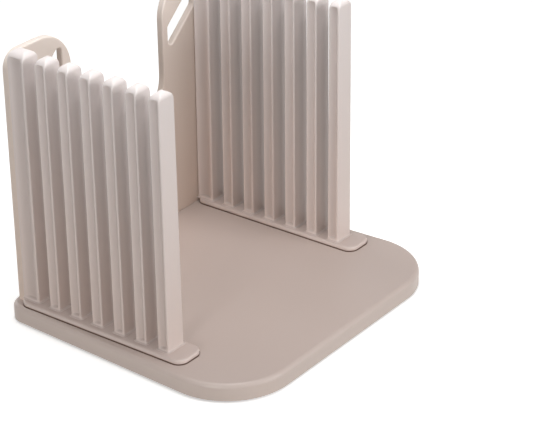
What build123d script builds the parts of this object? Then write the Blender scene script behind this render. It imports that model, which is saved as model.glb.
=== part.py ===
from build123d import *
import os

# Bread slicer guide: a moulded base that two comb fences and a back plate plug into.
# Millimetres. +X runs to the right-hand fence, +Y to the back plate and +Z up.
# The origin is on the table, under the middle of the base.

# ---- base board ----
base_front_margin = 8.15  # board beside a fence's flange, at the wide front end
base_rear_margin = 1.4  # the same at the rear edge
plate_rear_margin = 2.95  # board behind the back plate
base_height = 8.2  # rim of the board, without the pads
base_top_wall = 2.6  # thickness of the board's deck
base_side_wall = 2.6  # thickness of the rim
front_corner_radius = 33.0
rear_corner_radius = 9.0
deck_edge_radius = 2.2  # rounding where the deck meets the rim
rib_thickness = 1.6
rib_spacing_x = 52.0
rib_spacing_y = 46.0
rib_count = 2  # each way

# ---- anti-slip pads under the base ----
pad_radius = 7.0
pad_thickness = 2.2
pad_stand_out = 1.0  # how far a pad reaches below the rim
pad_edge_radius = 0.5
pad_inset_x = 22.0  # pad centre from the side of the board
pad_inset_y = 17.0  # pad centre from the rear or front edge
front_pad_extra_inset = 12.0  # more at the front, where the corners are round
pad_cup_clearance = 0.3
pad_cup_wall = 1.6

# ---- comb fences ----
clear_width = 121.2  # between the two fences
finger_count = 7
finger_pitch = 13.1
finger_thickness = 6.4  # along the fence
finger_depth = 10.2  # across the fence
rear_finger_thickness = 9.8
finger_height = 125.9  # above the foot flange
finger_top_radius = 3.4
finger_edge_radius = 0.8
fence_front_setback = 49.5  # first finger from the front edge of the board
flute_width = 4.6
rear_flute_width = 7.6
flute_depth = 1.0
flute_top_gap = 2.1  # from a flute's end to the top of the finger
flute_foot_gap = 1.0  # from a flute's end to the flange
flute_corner_radius = 1.3
flange_height = 2.4
flange_overhang_outer = 4.3  # past the fingers, on the outer side
flange_overhang_inner = 2.0  # past the fingers, on the inner side
flange_overhang_front = 10.0
flange_corner_radius = 5.0
flange_edge_radius = 1.0
seat_depth = 0.6  # shallow seat for a flange in the deck
seat_clearance = 0.35

# ---- plugs under the fences and the back plate ----
plug_drop = 6.0  # below the deck
plug_thickness = 4.6
plug_length = 20.0
plug_count = 3
plug_end_gap = 5.2  # from the end of a flange to its first plug
plug_tip_chamfer = 0.8
plug_clearance = 0.3
socket_wall = 1.6
plate_plug_length = 26.0
plate_plug_count = 3
plate_plug_end_gap = 13.8  # from the side of the plate to its first plug

# ---- back plate ----
plate_thickness = 3.8
plate_gap = 0.35  # between the rear fingers and the plate
plate_height = 126.4  # above the deck
plate_outer_radius = 9.0  # outer top corners
plate_shoulder_radius = 20.0  # inner top corners, beside the dip
plate_edge_radius = 0.8
left_ear_width = 42.2
right_ear_width = 33.3
dip_floor = 58.0  # lowest point of the dip, above the deck
dip_corner_radius = 20.0
window_drop = 6.1  # highest corner, below the top of the plate
window_side = 12.5  # height of a window's upright sides
window_slant = 17.8  # drop of its other two sides
window_width = 20.5
window_corner_radius = 2.2
left_window_inset = 15.4  # from the outer side of the left ear
right_window_inset = 8.5  # from the outer side of the right ear

# ---- places worked out from the sizes above ----
rim_z = pad_stand_out
deck_z = rim_z + base_height
seat_z = deck_z - seat_depth
flange_top_z = deck_z + flange_height
fence_length = (finger_count - 1) * finger_pitch + rear_finger_thickness
base_length = fence_front_setback + fence_length + plate_gap + plate_thickness + plate_rear_margin
front_y = -base_length / 2
rear_y = base_length / 2
finger_front_y = front_y + fence_front_setback
fence_back_y = finger_front_y + fence_length
flange_front_y = finger_front_y - flange_overhang_front
flange_length = fence_back_y - flange_front_y
flange_mid_y = (fence_back_y + flange_front_y) / 2
flange_width = finger_depth + flange_overhang_outer + flange_overhang_inner
finger_mid_x = (clear_width + finger_depth) / 2
flange_mid_x = finger_mid_x + (flange_overhang_outer - flange_overhang_inner) / 2
plate_front_y = fence_back_y + plate_gap
plate_mid_y = plate_front_y + plate_thickness / 2
plate_half_width = clear_width / 2 + finger_depth
plate_top_z = deck_z + plate_height
dip_left = left_ear_width - plate_half_width
dip_right = plate_half_width - right_ear_width
window_top_z = plate_top_z - window_drop
window_edges = (left_window_inset + window_width - plate_half_width,
                plate_half_width - right_window_inset)
base_front_width = 2 * (plate_half_width + flange_overhang_outer + base_front_margin)
base_rear_width = 2 * (plate_half_width + flange_overhang_outer + base_rear_margin)
plug_low_z = deck_z - plug_drop
plug_spacing = (flange_length - plug_length - 2 * plug_end_gap) / (plug_count - 1)
plate_plug_room = 2 * (plate_half_width - plate_plug_end_gap) - plate_plug_length
plate_plug_spacing = plate_plug_room / (plate_plug_count - 1)
plug_places = [(flange_mid_x, flange_mid_y + (i - (plug_count - 1) / 2) * plug_spacing)
               for i in range(plug_count)]
plate_plug_places = [((i - (plate_plug_count - 1) / 2) * plate_plug_spacing, plate_mid_y)
                     for i in range(plate_plug_count)]
base_outline = [
    (-base_front_width / 2, front_y),
    (base_front_width / 2, front_y),
    (base_rear_width / 2, rear_y),
    (-base_rear_width / 2, rear_y),
]
front_pad_x = base_front_width / 2 - pad_inset_x
front_pad_y = front_y + pad_inset_y + front_pad_extra_inset
rear_pad_x = base_rear_width / 2 - pad_inset_x
rear_pad_y = rear_y - pad_inset_y
pad_places = {
    "front_left_pad": (-front_pad_x, front_pad_y),
    "front_right_pad": (front_pad_x, front_pad_y),
    "rear_left_pad": (-rear_pad_x, rear_pad_y),
    "rear_right_pad": (rear_pad_x, rear_pad_y),
}

os.makedirs("parts", exist_ok=True)


def board_outline(height, inset):
    """Returns the board's outline at a height, drawn in by the inset."""
    with BuildSketch(Plane.XY.offset(height)) as outline:
        with BuildLine():
            Polyline(*base_outline, close=True)
        make_face()
        fillet(outline.vertices().group_by(Axis.Y)[0], front_corner_radius)
        fillet(outline.vertices().group_by(Axis.Y)[-1], rear_corner_radius)
        if inset:
            offset(amount=-inset, mode=Mode.REPLACE)
    return outline.sketch


# ---- base: deck, rim, stiffening ribs, pad cups and the sockets for the plugs ----
with BuildPart() as base:
    extrude(board_outline(rim_z, 0), amount=base_height)
    fillet(base.faces().sort_by(Axis.Z)[-1].outer_wire().edges(), deck_edge_radius)
    extrude(board_outline(rim_z, base_side_wall), amount=base_height - base_top_wall, mode=Mode.SUBTRACT)

    # ribs across and along, trimmed to the inside of the rim
    with BuildSketch(Plane.XY.offset(rim_z)):
        with GridLocations(rib_spacing_x, base_length, rib_count, 1):
            Rectangle(rib_thickness, base_length)
        with GridLocations(base_front_width, rib_spacing_y, 1, rib_count):
            Rectangle(base_front_width, rib_thickness)
        add(board_outline(rim_z, base_side_wall / 2), mode=Mode.INTERSECT)
    extrude(amount=base_height - base_top_wall / 2)

    # a solid cup over each pad
    with BuildSketch(Plane.XY.offset(rim_z)):
        with Locations(*pad_places.values()):
            Circle(pad_radius + pad_cup_clearance + pad_cup_wall)
    extrude(amount=base_height - base_top_wall / 2)
    with BuildSketch():
        with Locations(*pad_places.values()):
            Circle(pad_radius + pad_cup_clearance)
    extrude(amount=pad_thickness, mode=Mode.SUBTRACT)

    # socket walls, then the sockets themselves through the deck
    with BuildSketch(Plane.XY.offset(rim_z)):
        for side in (-1, 1):
            with Locations(*[(side * x, y) for x, y in plug_places]):
                Rectangle(plug_thickness + 2 * (plug_clearance + socket_wall),
                          plug_length + 2 * (plug_clearance + socket_wall))
        with Locations(*plate_plug_places):
            Rectangle(plate_plug_length + 2 * (plug_clearance + socket_wall),
                      plate_thickness + 2 * (plug_clearance + socket_wall))
    extrude(amount=base_height - base_top_wall / 2)
    with BuildSketch():
        for side in (-1, 1):
            with Locations(*[(side * x, y) for x, y in plug_places]):
                Rectangle(plug_thickness + 2 * plug_clearance, plug_length + 2 * plug_clearance)
        with Locations(*plate_plug_places):
            Rectangle(plate_plug_length + 2 * plug_clearance, plate_thickness + 2 * plug_clearance)
    extrude(amount=deck_z + base_height, mode=Mode.SUBTRACT)

    # shallow seats that the fence flanges drop into
    with BuildSketch(Plane.XY.offset(seat_z)):
        with Locations((-flange_mid_x, flange_mid_y), (flange_mid_x, flange_mid_y)):
            RectangleRounded(flange_width + 2 * seat_clearance, flange_length + 2 * seat_clearance,
                             flange_corner_radius + seat_clearance)
    extrude(amount=base_height, mode=Mode.SUBTRACT)
base.part.label = "base"
export_step(base.part, "parts/base.step")

# ---- anti-slip pads ----
for pad_name, pad_place in pad_places.items():
    with BuildPart() as pad:
        with BuildSketch():
            with Locations(pad_place):
                Circle(pad_radius)
        extrude(amount=pad_thickness)
        fillet(pad.edges().group_by(Axis.Z)[0], pad_edge_radius)
    pad.part.label = pad_name
    export_step(pad.part, f"parts/{pad_name}.step")


def flute(face_x, side, mid_y, groove):
    """Returns what a flute takes off a face: a shallow arc in section, with round-cornered ends."""
    arc_radius = (groove**2 / 4 + flute_depth**2) / (2 * flute_depth)
    low_z = flange_top_z + flute_foot_gap
    length = finger_height - flute_foot_gap - flute_top_gap
    with BuildPart() as cutter:
        with BuildSketch(Plane.XY.offset(low_z)):
            with Locations((face_x + side * (arc_radius - flute_depth), mid_y)):
                Circle(arc_radius)
        extrude(amount=length)
        with BuildSketch(Plane.YZ.offset(face_x)):
            with Locations((mid_y, low_z + length / 2)):
                RectangleRounded(groove, length, flute_corner_radius)
        extrude(amount=2 * flute_depth, both=True, mode=Mode.INTERSECT)
    return cutter.part


def finger(center_x, near_y, thickness, groove):
    """Returns one upright finger, with a flute down its inner and its outer side."""
    mid_y = near_y + thickness / 2
    with BuildPart() as blank:
        with BuildSketch(Plane.XY.offset(flange_top_z)):
            with Locations((center_x, mid_y)):
                Rectangle(finger_depth, thickness)
        extrude(amount=finger_height)
        fillet(blank.faces().sort_by(Axis.Z)[-1].edges().filter_by(Axis.Y), finger_top_radius)
        front_face = blank.faces().sort_by(Axis.Y)[0]
        back_face = blank.faces().sort_by(Axis.Y)[-1]
        foot_edges = blank.faces().sort_by(Axis.Z)[0].edges()
        rims = [edge for edge in front_face.edges() + back_face.edges() if edge not in foot_edges]
        fillet(rims, finger_edge_radius)
        for side in (-1, 1):
            add(flute(center_x + side * finger_depth / 2, side, mid_y, groove), mode=Mode.SUBTRACT)
    return blank.part


def plug_row(places, width, length, top_z):
    """Returns the plugs at some places, up to a height, with their tips bevelled."""
    with BuildPart() as row:
        with BuildSketch(Plane.XY.offset(plug_low_z)):
            with Locations(*places):
                Rectangle(width, length)
        extrude(amount=top_z - plug_low_z)
        chamfer(row.edges().group_by(Axis.Z)[0], plug_tip_chamfer)
    return row.part


# ---- fences: seven fingers on a foot flange, with three plugs below it ----
for fence_name, side in (("left_fence", -1), ("right_fence", 1)):
    with BuildPart() as fence:
        with BuildSketch(Plane.XY.offset(seat_z)):
            with Locations((side * flange_mid_x, flange_mid_y)):
                RectangleRounded(flange_width, flange_length, flange_corner_radius)
        extrude(amount=flange_top_z - seat_z)
        fillet(fence.faces().sort_by(Axis.Z)[-1].edges(), flange_edge_radius)
        for k in range(finger_count):
            is_rear = k == finger_count - 1
            add(finger(side * finger_mid_x, finger_front_y + k * finger_pitch,
                       rear_finger_thickness if is_rear else finger_thickness,
                       rear_flute_width if is_rear else flute_width))
        add(plug_row([(side * x, y) for x, y in plug_places], plug_thickness, plug_length, seat_z))
    fence.part.label = fence_name
    export_step(fence.part, f"parts/{fence_name}.step")

# ---- back plate: two ears either side of a dip, a window in each ear, plugs below ----
with BuildPart() as back_plate:
    with BuildSketch(Plane.XZ.offset(-plate_front_y)):
        with BuildLine():
            Polyline(
                (-plate_half_width, deck_z),
                (plate_half_width, deck_z),
                (plate_half_width, plate_top_z),
                (dip_right, plate_top_z),
                (dip_right, deck_z + dip_floor),
                (dip_left, deck_z + dip_floor),
                (dip_left, plate_top_z),
                (-plate_half_width, plate_top_z),
                close=True,
            )
        make_face()
        fillet(vertices().group_by(Axis.Y)[1], dip_corner_radius)
        top_corners = vertices().group_by(Axis.Y)[-1].sort_by(Axis.X)
        fillet(top_corners[1:-1], plate_shoulder_radius)
        top_corners = vertices().group_by(Axis.Y)[-1].sort_by(Axis.X)
        fillet([top_corners[0], top_corners[-1]], plate_outer_radius)
    extrude(amount=-plate_thickness)
    with BuildSketch(Plane.XZ.offset(-plate_front_y)):
        for upright in window_edges:
            with BuildLine():
                Polyline(
                    (upright, window_top_z),
                    (upright, window_top_z - window_side),
                    (upright - window_width, window_top_z - window_side - window_slant),
                    (upright - window_width, window_top_z - window_slant),
                    close=True,
                )
            make_face()
        fillet(vertices(), window_corner_radius)
    extrude(amount=-plate_thickness, mode=Mode.SUBTRACT)
    outline_edges = back_plate.faces().filter_by(Axis.Y).edges()
    fillet([edge for edge in outline_edges if edge.center().Z > deck_z + plate_edge_radius],
           plate_edge_radius)
    add(plug_row(plate_plug_places, plate_plug_length, plate_thickness, deck_z))
back_plate.part.label = "back_plate"
export_step(back_plate.part, "parts/back_plate.step")
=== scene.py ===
import math

import bpy
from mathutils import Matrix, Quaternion, Vector


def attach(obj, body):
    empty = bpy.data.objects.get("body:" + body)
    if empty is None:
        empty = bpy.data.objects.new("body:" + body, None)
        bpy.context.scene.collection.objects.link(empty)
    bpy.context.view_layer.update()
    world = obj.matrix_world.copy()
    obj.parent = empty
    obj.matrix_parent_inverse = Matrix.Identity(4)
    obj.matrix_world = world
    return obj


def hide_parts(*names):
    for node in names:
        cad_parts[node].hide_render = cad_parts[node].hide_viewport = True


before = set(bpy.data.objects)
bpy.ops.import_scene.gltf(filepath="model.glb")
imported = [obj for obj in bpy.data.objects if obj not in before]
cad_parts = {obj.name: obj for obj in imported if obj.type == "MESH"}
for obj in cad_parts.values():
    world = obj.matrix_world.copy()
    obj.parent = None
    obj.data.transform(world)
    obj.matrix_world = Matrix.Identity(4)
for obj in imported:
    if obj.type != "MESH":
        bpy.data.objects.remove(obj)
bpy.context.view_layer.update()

# ---- camera ----
# A long lens from the front left, a little above the fences, as the object is photographed.
# The top of the picture cuts off most tips of the right-hand fence, and does so here.
camera_place = Vector((-0.69464, -0.55374, 0.49537))
camera_heading = 0.920214  # radians from +Y towards +X
camera_dip = 0.473177  # radians below the horizon
camera_roll = -0.014005  # radians
lens_length = 142.0  # mm
sensor_width = 36.0  # mm
look = Vector((
    math.sin(camera_heading) * math.cos(camera_dip),
    math.cos(camera_heading) * math.cos(camera_dip),
    -math.sin(camera_dip),
))
camera_data = bpy.data.cameras.new("camera")
camera_data.sensor_width = sensor_width
camera_data.lens = lens_length
camera = bpy.data.objects.new("camera", camera_data)
camera.location = camera_place
camera.rotation_mode = "QUATERNION"
camera.rotation_quaternion = look.to_track_quat("-Z", "Y") @ Quaternion((0, 0, 1), camera_roll)
bpy.context.scene.collection.objects.link(camera)
bpy.context.scene.camera = camera
bpy.context.scene.view_settings.view_transform = "Standard"

# ---- studio ----
# A pale table top, a soft lamp close overhead and others at the front, the left and the back.
# The table shows near white to the camera but sends back only the light of a dull surface.
table_shown = (0.92, 0.92, 0.915, 1)
table_bounce = (0.36, 0.31, 0.27, 1)
table_lift = 0.45  # light the table gives off where it is seen directly
table_half = 6.0
table_corners = ((-1, -1), (1, -1), (1, 1), (-1, 1))
sky_colour = (1.0, 0.985, 0.97, 1)
sky_strength = 0.11
backdrop_strength = 1.0
lamps = (  # name, place, height aimed at, size, watts, colour
    ("overhead_lamp", (0.0, -0.02, 0.55), 0.05, 0.35, 1.8, (1.0, 1.0, 1.0)),
    ("front_lamp", (0.35, -1.1, 0.6), 0.07, 0.5, 7.0, (1.0, 0.985, 0.985)),
    ("left_lamp", (-1.1, -0.3, 0.35), 0.07, 0.3, 4.4, (1.0, 0.985, 0.985)),
    ("back_lamp", (0.2, 1.2, 0.55), 0.07, 0.6, 4.2, (1.0, 0.985, 0.97)),
)


def feed(tree, socket, value):
    """Links an input socket to value where that is a socket, and sets it to value otherwise."""
    if isinstance(value, bpy.types.NodeSocket):
        tree.links.new(value, socket)
    else:
        socket.default_value = value


def reckon(tree, operation, *terms, clamp=False):
    """Returns the result of one sum on sockets or numbers."""
    node = tree.nodes.new("ShaderNodeMath")
    node.operation = operation
    node.use_clamp = clamp
    for socket, term in zip(node.inputs, terms):
        feed(tree, socket, term)
    return node.outputs[0]


def blend(tree, share, first, second, blend_type="MIX"):
    """Returns the colour first where share is 0 and second, or both multiplied, where it is 1."""
    node = tree.nodes.new("ShaderNodeMix")
    node.data_type = "RGBA"
    node.blend_type = blend_type
    feed(tree, node.inputs["Factor"], share)
    feed(tree, node.inputs["A"], first)
    feed(tree, node.inputs["B"], second)
    return node.outputs["Result"]


def seen_directly(tree):
    """Returns a socket that is 1 for camera, glossy and transmission rays, else 0."""
    path = tree.nodes.new("ShaderNodeLightPath")
    camera_or_gloss = reckon(tree, "MAXIMUM", path.outputs["Is Camera Ray"],
                             path.outputs["Is Glossy Ray"])
    return reckon(tree, "MAXIMUM", camera_or_gloss, path.outputs["Is Transmission Ray"])


table_material = bpy.data.materials.new("table_top")
table_material.use_nodes = True
tree = table_material.node_tree
tree.nodes.clear()
seen = seen_directly(tree)
matt = tree.nodes.new("ShaderNodeBsdfDiffuse")
feed(tree, matt.inputs["Color"], blend(tree, seen, table_bounce, table_shown))
glow = tree.nodes.new("ShaderNodeEmission")
feed(tree, glow.inputs["Strength"], reckon(tree, "MULTIPLY", seen, table_lift))
both = tree.nodes.new("ShaderNodeAddShader")
feed(tree, both.inputs[0], matt.outputs[0])
feed(tree, both.inputs[1], glow.outputs[0])
surface = tree.nodes.new("ShaderNodeOutputMaterial")
feed(tree, surface.inputs["Surface"], both.outputs[0])

table_mesh = bpy.data.meshes.new("table_top")
table_mesh.from_pydata([(x * table_half, y * table_half, 0) for x, y in table_corners],
                       [], [tuple(range(len(table_corners)))])
table_mesh.materials.append(table_material)
table_top = bpy.data.objects.new("table_top", table_mesh)
bpy.context.scene.collection.objects.link(table_top)

world = bpy.data.worlds.new("studio")
bpy.context.scene.world = world
world.use_nodes = True
tree = world.node_tree
tree.nodes.clear()
ambient = tree.nodes.new("ShaderNodeBackground")
ambient.inputs["Color"].default_value = sky_colour
ambient.inputs["Strength"].default_value = sky_strength
backdrop = tree.nodes.new("ShaderNodeBackground")
backdrop.inputs["Strength"].default_value = backdrop_strength
pick = tree.nodes.new("ShaderNodeMixShader")
feed(tree, pick.inputs[0], seen_directly(tree))
feed(tree, pick.inputs[1], ambient.outputs[0])
feed(tree, pick.inputs[2], backdrop.outputs[0])
surface = tree.nodes.new("ShaderNodeOutputWorld")
feed(tree, surface.inputs["Surface"], pick.outputs[0])

for name, place, aim_height, size, watts, colour in lamps:
    lamp_data = bpy.data.lights.new(name, "AREA")
    lamp_data.size = size
    lamp_data.energy = watts
    lamp_data.color = colour
    lamp = bpy.data.objects.new(name, lamp_data)
    lamp.visible_camera = False
    lamp.location = place
    lamp.rotation_mode = "QUATERNION"
    aim = Vector((0, 0, aim_height)) - Vector(place)
    lamp.rotation_quaternion = aim.to_track_quat("-Z", "Y")
    bpy.context.scene.collection.objects.link(lamp)

# ---- moulded plastic ----
# Every white piece is injection moulded in one off-white plastic with a satin skin.
# Its colour drifts a little, and faint flow lines run up the long walls. Painted shade with a
# warm painted reflection makes it darker and warmer towards the foot. A darker tone on low
# faces that look up stands for the shade between the fences.
drift_detail, flow_detail, pebble_detail = 3.0, 4.0, 2.0
drift_weight = 0.7  # of the drift in the colour, beside the flow lines
flow_stretch = (1.0, 1.0, 0.012)  # draws the flow lines out along the height
mean_flow = 0.5
no_foot_shade = (1, 1, 1, 1)
shade_full, shade_gone = 0.0125, 0.020  # heights between which the darker tone fades out
relief_depth = 0.0002
plastic_relief = 0.10
plastic_ior = 1.49
glow_through = 0.03  # share of the light that goes into the plastic
glow_reach = (0.004, 0.003, 0.0022)


def ramp(tree, value, start, end, at_start, at_end):
    """Returns at_start where value is below start, at_end above end, and goes evenly between."""
    node = tree.nodes.new("ShaderNodeMapRange")
    for socket_name, term in (("Value", value), ("From Min", start), ("From Max", end),
                              ("To Min", at_start), ("To Max", at_end)):
        feed(tree, node.inputs[socket_name], term)
    return node.outputs[0]


def mottled(tree, place, scale, detail):
    """Returns a soft random pattern, read at place."""
    node = tree.nodes.new("ShaderNodeTexNoise")
    feed(tree, node.inputs["Vector"], place)
    feed(tree, node.inputs["Scale"], scale)
    feed(tree, node.inputs["Detail"], detail)
    return node.outputs["Fac"]


def split_xyz(tree, vector):
    """Returns the X, Y and Z of a vector."""
    node = tree.nodes.new("ShaderNodeSeparateXYZ")
    feed(tree, node.inputs[0], vector)
    return node.outputs["X"], node.outputs["Y"], node.outputs["Z"]


moulded_skin = bpy.data.node_groups.new("moulded_skin", "ShaderNodeTree")
for name, kind, default in (
    ("Colour", "NodeSocketColor", (0.80, 0.76, 0.74, 1)),
    ("Drift Colour", "NodeSocketColor", (0.74, 0.71, 0.68, 1)),
    ("Low Tint", "NodeSocketColor", (0.93, 0.86, 0.81, 1)),
    ("Tint Height", "NodeSocketFloat", 0.13),
    ("Shade Colour", "NodeSocketColor", (0.34, 0.26, 0.23, 1)),
    ("Shading", "NodeSocketFloat", 0.6),
    ("Drift Scale", "NodeSocketFloat", 14.0),
    ("Flow Scale", "NodeSocketFloat", 900.0),
    ("Flow Strength", "NodeSocketFloat", 0.25),
    ("Pebble Scale", "NodeSocketFloat", 1600.0),
    ("Roughness", "NodeSocketFloat", 0.42),
    ("Roughness Spread", "NodeSocketFloat", 0.10),
):
    socket = moulded_skin.interface.new_socket(name, in_out="INPUT", socket_type=kind)
    socket.default_value = default
for name, kind in (("Colour", "NodeSocketColor"), ("Roughness", "NodeSocketFloat"),
                   ("Height", "NodeSocketFloat")):
    moulded_skin.interface.new_socket(name, in_out="OUTPUT", socket_type=kind)
tree = moulded_skin
given = tree.nodes.new("NodeGroupInput")
result = tree.nodes.new("NodeGroupOutput")
coords = tree.nodes.new("ShaderNodeTexCoord")
stretch = tree.nodes.new("ShaderNodeMapping")
stretch.inputs["Scale"].default_value = flow_stretch
feed(tree, stretch.inputs["Vector"], coords.outputs["Object"])
drift = mottled(tree, coords.outputs["Object"], given.outputs["Drift Scale"], drift_detail)
flow = mottled(tree, stretch.outputs["Vector"], given.outputs["Flow Scale"], flow_detail)
pebble = mottled(tree, coords.outputs["Object"], given.outputs["Pebble Scale"], pebble_detail)
# colour: the drift and the flow lines both lean towards the drift colour
flow_share = reckon(tree, "MULTIPLY", flow, given.outputs["Flow Strength"])
drift_share = reckon(tree, "MULTIPLY_ADD", drift, drift_weight, flow_share)
drifted = blend(tree, drift_share, given.outputs["Colour"], given.outputs["Drift Colour"])
# painted shade with a warm painted reflection: darker and warmer towards the foot
height = split_xyz(tree, coords.outputs["Object"])[2]
rise = ramp(tree, height, 0.0, given.outputs["Tint Height"], 0.0, 1.0)
foot_shade = blend(tree, rise, given.outputs["Low Tint"], no_foot_shade)
foot_shaded = blend(tree, 1.0, drifted, foot_shade, "MULTIPLY")
# shade: on faces that look up, below the foot of the fingers
facing = tree.nodes.new("ShaderNodeNewGeometry")
upward = split_xyz(tree, facing.outputs["Normal"])[2]
low_down = ramp(tree, height, shade_full, shade_gone, 1.0, 0.0)
low_and_upward = reckon(tree, "MULTIPLY", upward, low_down, clamp=True)
shading = reckon(tree, "MULTIPLY", low_and_upward, given.outputs["Shading"])
feed(tree, result.inputs["Colour"],
     blend(tree, shading, foot_shaded, given.outputs["Shade Colour"]))
# roughness: up and down about its mean, with the flow lines
centred = reckon(tree, "SUBTRACT", flow, mean_flow)
feed(tree, result.inputs["Roughness"],
     reckon(tree, "MULTIPLY_ADD", centred, given.outputs["Roughness Spread"],
            given.outputs["Roughness"]))
# height: fine pebble with the flow lines laid over it
feed(tree, result.inputs["Height"], reckon(tree, "ADD", pebble, flow_share))


def skinned(name, relief, values):
    """Returns a material and its shader, whose moulded skin takes the given values."""
    material = bpy.data.materials.new(name)
    material.use_nodes = True
    tree = material.node_tree
    shader = tree.nodes["Principled BSDF"]
    skin = tree.nodes.new("ShaderNodeGroup")
    skin.node_tree = moulded_skin
    for socket_name, value in values.items():
        skin.inputs[socket_name].default_value = value
    feed(tree, shader.inputs["Base Color"], skin.outputs["Colour"])
    feed(tree, shader.inputs["Roughness"], skin.outputs["Roughness"])
    bump = tree.nodes.new("ShaderNodeBump")
    bump.inputs["Strength"].default_value = relief
    bump.inputs["Distance"].default_value = relief_depth
    feed(tree, bump.inputs["Height"], skin.outputs["Height"])
    feed(tree, shader.inputs["Normal"], bump.outputs["Normal"])
    return material, shader


def moulded_plastic(name, values):
    """Returns a satin plastic material."""
    material, shader = skinned(name, plastic_relief, values)
    shader.inputs["IOR"].default_value = plastic_ior
    shader.inputs["Subsurface Weight"].default_value = glow_through
    shader.inputs["Subsurface Radius"].default_value = glow_reach
    shader.inputs["Subsurface Scale"].default_value = 1.0
    return material


# ---- base board and back plate ----
# The board is one moulding, hollow below, with a seat in its deck for each fence.
# The plate is a flat moulding that stands behind the rear fingers, a little warmer in colour.
# The board is coloured a little darker than the fences, which is painted shade.
base_plastic = moulded_plastic("base_plastic", {
    "Colour": (0.78, 0.725, 0.71, 1),
    "Drift Colour": (0.73, 0.67, 0.645, 1),
    "Drift Scale": 18.0,
    "Low Tint": (0.93, 0.87, 0.82, 1),
})
plate_plastic = moulded_plastic("plate_plastic", {
    "Colour": (0.86, 0.775, 0.715, 1),
    "Drift Colour": (0.81, 0.72, 0.65, 1),
    "Drift Scale": 22.0,
})


def dress(node_name, material):
    """Gives its material to a piece that keeps its own shape."""
    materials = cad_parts[node_name].data.materials
    materials.clear()
    materials.append(material)


dress("base", base_plastic)
dress("back_plate", plate_plastic)

# ---- anti-slip pads ----
# Four discs of soft grey rubber pressed into cups under the board, matt and faintly mottled.
# They stand a little below the rim, so the board rests on them alone.
rubber_relief = 0.3
rubber_gloss = 0.3
pad_rubber, rubber = skinned("pad_rubber", rubber_relief, {
    "Colour": (0.27, 0.26, 0.25, 1),
    "Drift Colour": (0.20, 0.195, 0.19, 1),
    "Drift Scale": 260.0,
    "Flow Strength": 0.0,
    "Roughness": 0.78,
    "Low Tint": no_foot_shade,
    "Shading": 0.0,
})
rubber.inputs["Specular IOR Level"].default_value = rubber_gloss
for name in ("front_left_pad", "front_right_pad", "rear_left_pad", "rear_right_pad"):
    dress(name, pad_rubber)

# ---- comb fences ----
# Seven fingers stand on a foot flange that plugs into the deck; the rearmost is the thickest.
# Each is domed, drafted on its inner side, flared at the foot and fluted on two sides. A
# darker tone stands for shade in the seam, in the flutes and at the far ends of the gaps.
foot_top = 0.0116  # top of the flange above the table
clear_half_width = 0.0606  # inner faces of the fingers at the foot, from the middle
fence_front = -0.0230  # front face of the front finger
finger_height = 0.1259
finger_half_depth = 0.0055
finger_draft = 0.0007  # taken off the inner side by the top
finger_thickness = 0.0062
finger_narrowing = 0.0001  # taken off front and back by the top
finger_corner = 0.0006
finger_pitch = 0.0131
plain_fingers = 6
rear_finger_thickness = 0.0098
dome_height = 0.0048
dome_power = 2.1  # 2 is an ellipse, more is squarer
dome_tip = 0.03  # narrowest share of the width, at the tip
dome_front_radius = 0.0029
foot_flare = 0.001
flute_width = 0.0042
rear_flute_width = 0.0076
flute_depth = 0.0014
flute_corner = 0.0013
flute_low, flute_high = 0.001, 0.1233  # a flute's ends, above the flange
flute_ramp = 0.0004
finger_x = clear_half_width + finger_half_depth
first_finger_y = fence_front + finger_thickness / 2
rear_finger_y = fence_front + plain_fingers * finger_pitch + rear_finger_thickness / 2
flange_x, flange_y = 0.06685, 0.0162
flange_half_width, flange_half_length = 0.00825, 0.0492
flange_corner = 0.005
flange_edge = 0.001
flange_bottom = 0.0086
plug_half_width, plug_half_length = 0.0023, 0.010
plug_bottom = 0.0032
plug_corner = 0.0003
plug_bevel = 0.0008
plug_spacing = 0.034
plugs = 3
# rings of points: how many, and at what heights
long_side_points, short_side_points, corner_steps, flange_corner_steps = 11, 4, 5, 10
flare_steps, dome_steps, flange_edge_steps = 5, 20, 6
flute_end_steps = (0.0003, 0.0006, 0.0009, 0.0012, 0.0016)
shaft_start, shaft_step, shaft_rings = 0.006, 0.0145, 8
below_dome_steps = (0.004, 0.001)
tip_drop = 0.00001  # last ring, below the tip
fullest_corner = 0.95  # largest corner radius as a share of a half width
# painted shade: in the seam, in the flutes and at the far ends of the gaps
seam_full, seam_gone = 0.0095, 0.0098  # heights between which the seam's tone fades out
seam_shade_colour = (0.20, 0.115, 0.08, 1)
flute_toning = 0.34  # how far a flute's floor leans to its tone
flute_shade_colour = (0.30, 0.24, 0.21, 1)
gap_toning = 0.7  # the same at the far ends of the gaps
gap_shade_colour = (0.13, 0.10, 0.09, 1)
gap_tone_start, gap_tone_full = -0.0222, -0.0212  # leaves out the front face of the fence
gap_tone_fade = 0.010  # height below the dome over which the gap's tone fades out
gap_face_share = 0.9  # faces beyond this share of the half thickness line a gap


def rounded_ring(half_x, half_y, radius, corner=corner_steps):
    """Returns the points of a rounded rectangle, anticlockwise from the low end of its +X side."""
    radius = min(radius, fullest_corner * half_x, fullest_corner * half_y)
    along_x, along_y = half_x - radius, half_y - radius
    points = []
    for turn, run, count in ((0, along_y, long_side_points), (1, along_x, short_side_points),
                             (2, along_y, long_side_points), (3, along_x, short_side_points)):
        reach = half_x if turn % 2 == 0 else half_y
        cos, sin = round(math.cos(turn * math.pi / 2)), round(math.sin(turn * math.pi / 2))
        for i in range(count):
            along = -run * math.cos(math.pi * i / (count - 1))
            points.append((reach * cos - along * sin, reach * sin + along * cos))
        for i in range(1, corner):
            angle = math.pi / 2 * i / corner
            out, along = reach - radius + radius * math.cos(angle), run + radius * math.sin(angle)
            points.append((out * cos - along * sin, out * sin + along * cos))
    return points


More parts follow.
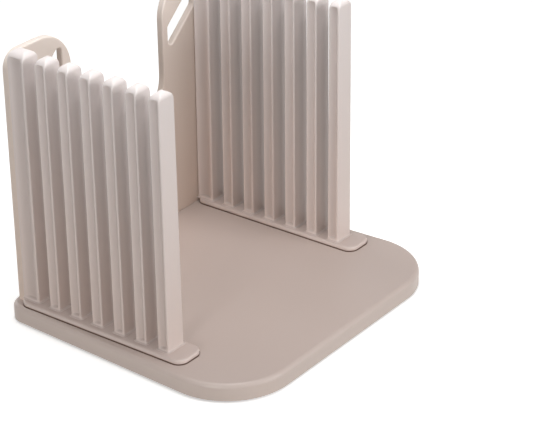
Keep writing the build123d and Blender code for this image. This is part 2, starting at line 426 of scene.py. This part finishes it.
def lofted(name, rings):
    """Returns a closed mesh object through rings of points, from the lowest up."""
    count = len(rings[0])
    verts = [point for ring in rings for point in ring]
    faces = [(k * count + i, k * count + (i + 1) % count, (k + 1) * count + (i + 1) % count,
              (k + 1) * count + i) for k in range(len(rings) - 1) for i in range(count)]
    faces.append(tuple(reversed(range(count))))
    faces.append(tuple(range((len(rings) - 1) * count, len(rings) * count)))
    mesh = bpy.data.meshes.new(name)
    mesh.from_pydata(verts, [], faces)
    mesh.polygons.foreach_set("use_smooth", [True] * len(mesh.polygons))
    return bpy.data.objects.new(name, mesh)


def share(value):
    """Returns value kept between 0 and 1."""
    return min(1.0, max(0.0, value))


def flute_cut(y, z, groove):
    """Returns how far a flute's floor lies behind its face at a point of that face."""
    half = groove / 2
    if abs(y) >= half:
        return 0.0
    bulge = max(0.0, abs(y) - (half - flute_corner))
    round_off = flute_corner - math.sqrt(flute_corner**2 - bulge**2)
    inside = min(flute_high - round_off - z, z - flute_low - round_off)
    arc_radius = (half**2 + flute_depth**2) / (2 * flute_depth)
    depth = math.sqrt(arc_radius**2 - y**2) - (arc_radius - flute_depth)
    return depth * share(inside / flute_ramp)


def finger_levels(spring):
    """Returns the heights of a finger's rings, closest where its shape changes most."""
    levels = [foot_flare * (1 - math.cos(math.pi / 2 * i / flare_steps))
              for i in range(flare_steps + 1)]
    levels += [flute_low + step for step in flute_end_steps]
    levels += [shaft_start + shaft_step * i for i in range(shaft_rings)]
    levels += [spring - step for step in below_dome_steps]
    levels += [spring + dome_height * math.sin(math.pi / 2 * i / dome_steps)
               for i in range(dome_steps)]
    return levels + [finger_height - tip_drop]


def finger(name, side, thickness, groove, flush_back):
    """Returns one finger round the origin, its foot at height 0; side is -1 on the left."""
    spring = finger_height - dome_height
    front_spring = finger_height - dome_front_radius
    rings, flute_shares, gap_shares = [], [], []
    for z in finger_levels(spring):
        rise = z / finger_height
        inner = finger_half_depth - finger_draft * rise
        shift = side * (finger_half_depth - inner) / 2
        face_x = (finger_half_depth + inner) / 2
        straight_y = thickness / 2 - finger_narrowing * rise
        half_y = straight_y
        flare = 0.0
        if z < foot_flare:
            flare = foot_flare - math.sqrt(foot_flare**2 - (foot_flare - z)**2)
        shrink = 1.0
        if z > spring:
            bow = 1 - ((z - spring) / dome_height)**dome_power
            shrink = max(dome_tip, bow**(1 / dome_power))
        if z > front_spring:
            drop = math.sqrt(dome_front_radius**2 - (z - front_spring)**2)
            half_y -= dome_front_radius - drop
        ring = []
        for x, y in rounded_ring(face_x * shrink + flare, half_y + flare, finger_corner + flare):
            gap_share = 0.0
            if abs(y) > gap_face_share * straight_y:
                across = share(0.5 + x / (2 * face_x))
                gap_share = across**2 * share((spring - z) / gap_tone_fade)
            gap_shares.append(gap_share)
            flute_share = 0.0
            if abs(y) < straight_y - finger_corner:
                floor_x = face_x + flare - flute_cut(y, z, groove)
                flute_share = share((abs(x) - floor_x) / flute_depth)
                x = math.copysign(min(abs(x), floor_x), x)
            flute_shares.append(flute_share)
            if flush_back:
                y = min(y, thickness / 2)
            ring.append((x + shift, y, z))
        rings.append(ring)
    piece = lofted(name, rings)
    for mark, shares in (("flute", flute_shares), ("gap", gap_shares)):
        piece.data.attributes.new(mark, "FLOAT", "POINT").data.foreach_set("value", shares)
    return piece


def foot(name, side):
    """Returns the flange in its place, with its top edge rounded."""
    rings = []
    steps = [(flange_bottom, 0.0), (foot_top - flange_edge, 0.0)]
    for i in range(1, flange_edge_steps + 1):
        angle = math.pi / 2 * i / flange_edge_steps
        steps.append((foot_top - flange_edge * (1 - math.sin(angle)),
                      flange_edge * (1 - math.cos(angle))))
    for z, inset in steps:
        outline = rounded_ring(flange_half_width - inset, flange_half_length - inset,
                               flange_corner - inset, flange_corner_steps)
        rings.append([(side * flange_x + x, flange_y + y, z) for x, y in outline])
    return lofted(name, rings)


def plug(name):
    """Returns one plug round the origin, its tip bevelled and its top at height 0."""
    depth = flange_bottom - plug_bottom
    rings = []
    for z, inset in ((-depth, plug_bevel), (plug_bevel - depth, 0.0), (0.0, 0.0)):
        outline = rounded_ring(plug_half_width - inset, plug_half_length - inset, plug_corner)
        rings.append([(x, y, z) for x, y in outline])
    return lofted(name, rings)


comb = bpy.data.node_groups.new("comb", "GeometryNodeTree")
for name, kind in (
    ("Geometry", "NodeSocketGeometry"),
    ("Finger", "NodeSocketObject"),
    ("First Finger", "NodeSocketVector"),
    ("Finger Pitch", "NodeSocketFloat"),
    ("Finger Count", "NodeSocketInt"),
    ("Rear Finger", "NodeSocketObject"),
    ("Rear Finger Place", "NodeSocketVector"),
    ("Plug", "NodeSocketObject"),
    ("First Plug", "NodeSocketVector"),
    ("Plug Spacing", "NodeSocketFloat"),
    ("Plug Count", "NodeSocketInt"),
    ("Material", "NodeSocketMaterial"),
):
    comb.interface.new_socket(name, in_out="INPUT", socket_type=kind)
comb.interface.new_socket("Geometry", in_out="OUTPUT", socket_type="NodeSocketGeometry")
given = comb.nodes.new("NodeGroupInput")
result = comb.nodes.new("NodeGroupOutput")
joined = comb.nodes.new("GeometryNodeJoinGeometry")


def shape_of(piece_input):
    """Returns the shape of the piece given at one input of the comb."""
    source = comb.nodes.new("GeometryNodeObjectInfo")
    feed(comb, source.inputs["Object"], given.outputs[piece_input])
    return source.outputs["Geometry"]


for piece_input, start_input, step_input, count_input in (
    ("Finger", "First Finger", "Finger Pitch", "Finger Count"),
    ("Plug", "First Plug", "Plug Spacing", "Plug Count"),
):
    step = comb.nodes.new("ShaderNodeCombineXYZ")
    feed(comb, step.inputs["Y"], given.outputs[step_input])
    row = comb.nodes.new("GeometryNodeMeshLine")
    feed(comb, row.inputs["Count"], given.outputs[count_input])
    feed(comb, row.inputs["Start Location"], given.outputs[start_input])
    feed(comb, row.inputs["Offset"], step.outputs[0])
    spread = comb.nodes.new("GeometryNodeInstanceOnPoints")
    feed(comb, spread.inputs["Points"], row.outputs[0])
    feed(comb, spread.inputs["Instance"], shape_of(piece_input))
    feed(comb, joined.inputs[0], spread.outputs[0])
moved = comb.nodes.new("GeometryNodeTransform")
feed(comb, moved.inputs["Geometry"], shape_of("Rear Finger"))
feed(comb, moved.inputs["Translation"], given.outputs["Rear Finger Place"])
feed(comb, joined.inputs[0], moved.outputs[0])
feed(comb, joined.inputs[0], given.outputs["Geometry"])
real = comb.nodes.new("GeometryNodeRealizeInstances")
feed(comb, real.inputs[0], joined.outputs[0])
coat = comb.nodes.new("GeometryNodeSetMaterial")
feed(comb, coat.inputs["Geometry"], real.outputs[0])
feed(comb, coat.inputs["Material"], given.outputs["Material"])
feed(comb, result.inputs[0], coat.outputs[0])


def marked(tree, mark):
    """Returns the share written on the mesh under the name mark."""
    node = tree.nodes.new("ShaderNodeAttribute")
    node.attribute_name = mark
    return node.outputs["Fac"]


fence_plastic = moulded_plastic("fence_plastic", {
    "Colour": (0.86, 0.80, 0.785, 1),
    "Drift Colour": (0.81, 0.75, 0.735, 1),
})
tree = fence_plastic.node_tree
# painted shade, darker in the seam, on the flutes' floors and at the far ends of the gaps
coords = tree.nodes.new("ShaderNodeTexCoord")
depth_back, height = split_xyz(tree, coords.outputs["Object"])[1:]
shown_colour = tree.nodes["Principled BSDF"].inputs["Base Color"]
in_seam = ramp(tree, height, seam_full, seam_gone, 1.0, 0.0)
seamed = blend(tree, in_seam, shown_colour.links[0].from_socket, seam_shade_colour)
in_flute = reckon(tree, "MULTIPLY", marked(tree, "flute"), flute_toning)
fluted = blend(tree, in_flute, seamed, flute_shade_colour)
behind_front = ramp(tree, depth_back, gap_tone_start, gap_tone_full, 0.0, gap_toning)
in_gap = reckon(tree, "MULTIPLY", marked(tree, "gap"), behind_front)
feed(tree, shown_colour, blend(tree, in_gap, fluted, gap_shade_colour))

plug_piece = plug("plug")
for body, side in (("left_fence", -1), ("right_fence", 1)):
    plain = finger("plain_finger", side, finger_thickness, flute_width, False)
    rear = finger("rear_finger", side, rear_finger_thickness, rear_flute_width, True)
    flange = foot("flange", side)
    bpy.context.scene.collection.objects.link(flange)
    weave = flange.modifiers.new("comb", "NODES")
    weave.node_group = comb
    values = {
        "Finger": plain,
        "First Finger": (side * finger_x, first_finger_y, foot_top),
        "Finger Pitch": finger_pitch,
        "Finger Count": plain_fingers,
        "Rear Finger": rear,
        "Rear Finger Place": (side * finger_x, rear_finger_y, foot_top),
        "Plug": plug_piece,
        "First Plug": (side * flange_x, flange_y - plug_spacing, flange_bottom),
        "Plug Spacing": plug_spacing,
        "Plug Count": plugs,
        "Material": fence_plastic,
    }
    for socket in comb.interface.items_tree:
        if socket.in_out == "INPUT" and socket.name in values:
            weave[socket.identifier] = values[socket.name]
    baked = bpy.data.meshes.new_from_object(
        flange.evaluated_get(bpy.context.evaluated_depsgraph_get()))
    for pattern in (flange, plain, rear):
        bpy.data.objects.remove(pattern)
    fence = bpy.data.objects.new(f"{body}_comb", baked)
    bpy.context.scene.collection.objects.link(fence)
    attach(fence, body)
    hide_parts(body)
bpy.data.objects.remove(plug_piece)
